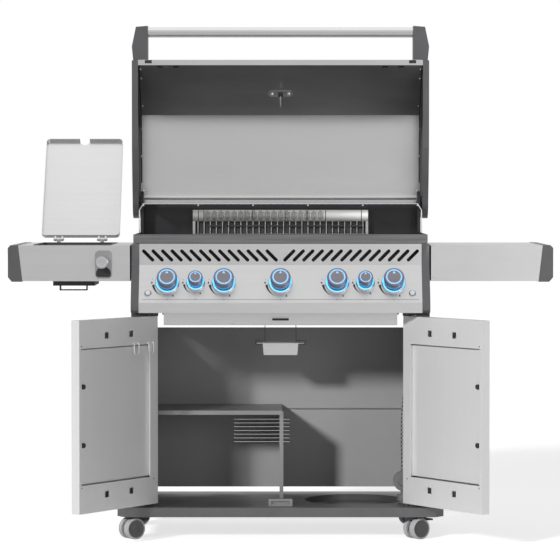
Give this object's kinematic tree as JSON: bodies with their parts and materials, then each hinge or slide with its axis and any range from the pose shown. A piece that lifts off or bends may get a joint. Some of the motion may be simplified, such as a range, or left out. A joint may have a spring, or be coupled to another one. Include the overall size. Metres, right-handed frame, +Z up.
{
  "type": "gas barbecue grill",
  "caption": "Gas barbecue grill on a two-door cabinet cart with casters, roll-back lid, side shelves, side burner, control knobs, drip tray and gas hose.",
  "frame": {"origin": "on the floor, under the centre of the box round the grill in its rest pose (lid, doors and side burner cover open)", "axes": "+X to the right as the cook faces it, +Y to the back, +Z up"},
  "size_m": [1.68, 0.951, 1.608],
  "materials": {
    "brushed_steel": "brushed",
    "lid_steel": "brushed",
    "polished_steel": "polished",
    "charcoal_casting": "satin powder coat",
    "dark_sheet": "satin",
    "grey_sheet": "satin",
    "firebox_black": "matte",
    "grid_iron": "matte",
    "knob_metal": "satin",
    "bezel_chrome": "polished",
    "black_plastic": "matte",
    "black_rubber": "matte",
    "wheel_tread": "satin",
    "brass_gas": "satin",
    "hose_braid": "braided",
    "regulator_grey": "cast"
  },
  "bodies": {
    "cart": {"base_pan": "grey_sheet", "side_panels": "grey_sheet", "back_panel": "dark_sheet", "cabinet_shelf": "dark_sheet", "divider": "grey_sheet", "door_catch": "black_plastic", "door_hinges": "dark_sheet", "firebox": "firebox_black", "main_burners": "brushed_steel", "sear_plates": "brushed_steel", "cooking_grids": "grid_iron", "warming_rack": "polished_steel", "rear_burner": "brushed_steel", "gas_manifold": "brass_gas", "control_panel": "brushed_steel", "panel_end_caps": "charcoal_casting", "knob_bezels": "bezel_chrome", "left_shelf": "brushed_steel", "right_shelf": "brushed_steel", "shelf_end_caps": "charcoal_casting", "shelf_bolts": "polished_steel", "side_burner_bowl": "firebox_black", "side_burner_head": "brushed_steel", "side_burner_grid": "grid_iron", "side_burner_bracket": "dark_sheet", "gas_hose": "hose_braid", "regulator": "regulator_grey"},
    "lid": {"lid_shell": "lid_steel", "lid_ends": "charcoal_casting", "lid_handle": "polished_steel", "lid_thermometer": "polished_steel", "lid_bumpers": "black_rubber"},
    "left_door": {"left_door": "brushed_steel", "left_door_handle": "polished_steel"},
    "right_door": {"right_door": "brushed_steel", "right_door_handle": "polished_steel"},
    "side_burner_cover": {"side_burner_cover": "brushed_steel"},
    "drip_tray": {"drip_tray": "brushed_steel", "grease_cup_holder": "dark_sheet"},
    "grease_cup": {"grease_cup": "brushed_steel"},
    "knob_1": {"knob_1": "knob_metal"},
    "knob_2": {"knob_2": "knob_metal"},
    "knob_3": {"knob_3": "knob_metal"},
    "knob_4": {"knob_4": "knob_metal"},
    "knob_5": {"knob_5": "knob_metal"},
    "knob_6": {"knob_6": "knob_metal"},
    "knob_7": {"knob_7": "knob_metal"},
    "side_knob": {"side_knob": "knob_metal"},
    "ignition_button": {"ignition_button": "polished_steel"},
    "light_button": {"light_button": "polished_steel"},
    "front_left_caster": {"front_left_caster": "black_plastic"},
    "front_left_wheels": {"front_left_wheels": "wheel_tread"},
    "front_right_caster": {"front_right_caster": "black_plastic"},
    "front_right_wheels": {"front_right_wheels": "wheel_tread"},
    "rear_left_caster": {"rear_left_caster": "black_plastic"},
    "rear_left_wheels": {"rear_left_wheels": "wheel_tread"},
    "rear_right_caster": {"rear_right_caster": "black_plastic"},
    "rear_right_wheels": {"rear_right_wheels": "wheel_tread"},
    "front_left_brake": {"front_left_brake": "black_plastic"},
    "front_right_brake": {"front_right_brake": "black_plastic"}
  },
  "joints": [
    {"name": "lid_hinge", "type": "hinge", "parent": "cart", "child": "lid", "pos_m": [0, 0.28181, 1.048], "axis": [1, 0, 0], "range_deg": [0, 90]},
    {"name": "left_door_hinge", "type": "hinge", "parent": "cart", "child": "left_door", "pos_m": [-0.392, -0.14719, 0.4], "axis": [0, 0, 1], "range_deg": [0, 124]},
    {"name": "right_door_hinge", "type": "hinge", "parent": "cart", "child": "right_door", "pos_m": [0.392, -0.14719, 0.4], "axis": [0, 0, -1], "range_deg": [0, 124]},
    {"name": "cover_hinge", "type": "hinge", "parent": "cart", "child": "side_burner_cover", "pos_m": [-0.645, 0.24181, 0.923], "axis": [1, 0, 0], "range_deg": [0, 125]},
    {"name": "drip_tray_slide", "type": "slide", "parent": "cart", "child": "drip_tray", "axis": [0, 1, 0], "range_m": [-0.3, 0]},
    {"name": "grease_cup_slide", "type": "slide", "parent": "drip_tray", "child": "grease_cup", "axis": [0, 1, 0], "range_m": [-0.06, 0]},
    {"name": "knob_1_turn", "type": "hinge", "parent": "cart", "child": "knob_1", "pos_m": [-0.348, -0.20745, 0.7985], "axis": [0, -0.891, 0.454], "range_deg": [0, 210]},
    {"name": "knob_2_turn", "type": "hinge", "parent": "cart", "child": "knob_2", "pos_m": [-0.261, -0.20745, 0.7985], "axis": [0, -0.891, 0.454], "range_deg": [0, 210]},
    {"name": "knob_3_turn", "type": "hinge", "parent": "cart", "child": "knob_3", "pos_m": [-0.174, -0.20745, 0.7985], "axis": [0, -0.891, 0.454], "range_deg": [0, 210]},
    {"name": "knob_4_turn", "type": "hinge", "parent": "cart", "child": "knob_4", "pos_m": [0, -0.20745, 0.7985], "axis": [0, -0.891, 0.454], "range_deg": [0, 210]},
    {"name": "knob_5_turn", "type": "hinge", "parent": "cart", "child": "knob_5", "pos_m": [0.174, -0.20745, 0.7985], "axis": [0, -0.891, 0.454], "range_deg": [0, 210]},
    {"name": "knob_6_turn", "type": "hinge", "parent": "cart", "child": "knob_6", "pos_m": [0.261, -0.20745, 0.7985], "axis": [0, -0.891, 0.454], "range_deg": [0, 210]},
    {"name": "knob_7_turn", "type": "hinge", "parent": "cart", "child": "knob_7", "pos_m": [0.348, -0.20745, 0.7985], "axis": [0, -0.891, 0.454], "range_deg": [0, 210]},
    {"name": "side_knob_turn", "type": "hinge", "parent": "cart", "child": "side_knob", "pos_m": [-0.549, -0.18819, 0.861], "axis": [0, -1, 0], "range_deg": [0, 210]},
    {"name": "ignition_press", "type": "slide", "parent": "cart", "child": "ignition_button", "axis": [0, 0.891, -0.454], "range_m": [0, 0.003], "stiffness_N_per_m": 600},
    {"name": "light_press", "type": "slide", "parent": "cart", "child": "light_button", "axis": [0, 0.891, -0.454], "range_m": [0, 0.003], "stiffness_N_per_m": 600},
    {"name": "front_left_swivel", "type": "hinge", "parent": "cart", "child": "front_left_caster", "pos_m": [-0.442, -0.12219, 0.08], "axis": [0, 0, 1], "continuous": true},
    {"name": "front_left_roll", "type": "hinge", "parent": "front_left_caster", "child": "front_left_wheels", "pos_m": [-0.4619, -0.13561, 0.033], "axis": [-0.5592, 0.829, 0], "continuous": true},
    {"name": "front_left_brake_press", "type": "hinge", "parent": "front_left_caster", "child": "front_left_brake", "pos_m": [-0.43454, -0.11716, 0.059], "axis": [-0.5592, 0.829, 0], "range_deg": [0, 12], "stiffness_Nm_per_rad": 0.5},
    {"name": "front_right_swivel", "type": "hinge", "parent": "cart", "child": "front_right_caster", "pos_m": [0.442, -0.12219, 0.08], "axis": [0, 0, 1], "continuous": true},
    {"name": "front_right_roll", "type": "hinge", "parent": "front_right_caster", "child": "front_right_wheels", "pos_m": [0.4221, -0.13561, 0.033], "axis": [-0.5592, 0.829, 0], "continuous": true},
    {"name": "front_right_brake_press", "type": "hinge", "parent": "front_right_caster", "child": "front_right_brake", "pos_m": [0.44946, -0.11716, 0.059], "axis": [-0.5592, 0.829, 0], "range_deg": [0, 12], "stiffness_Nm_per_rad": 0.5},
    {"name": "rear_left_swivel", "type": "hinge", "parent": "cart", "child": "rear_left_caster", "pos_m": [-0.442, 0.25581, 0.08], "axis": [0, 0, 1], "continuous": true},
    {"name": "rear_left_roll", "type": "hinge", "parent": "rear_left_caster", "child": "rear_left_wheels", "pos_m": [-0.4619, 0.24239, 0.033], "axis": [-0.5592, 0.829, 0], "continuous": true},
    {"name": "rear_right_swivel", "type": "hinge", "parent": "cart", "child": "rear_right_caster", "pos_m": [0.442, 0.25581, 0.08], "axis": [0, 0, 1], "continuous": true},
    {"name": "rear_right_roll", "type": "hinge", "parent": "rear_right_caster", "child": "rear_right_wheels", "pos_m": [0.4221, 0.24239, 0.033], "axis": [-0.5592, 0.829, 0], "continuous": true}
  ]
}
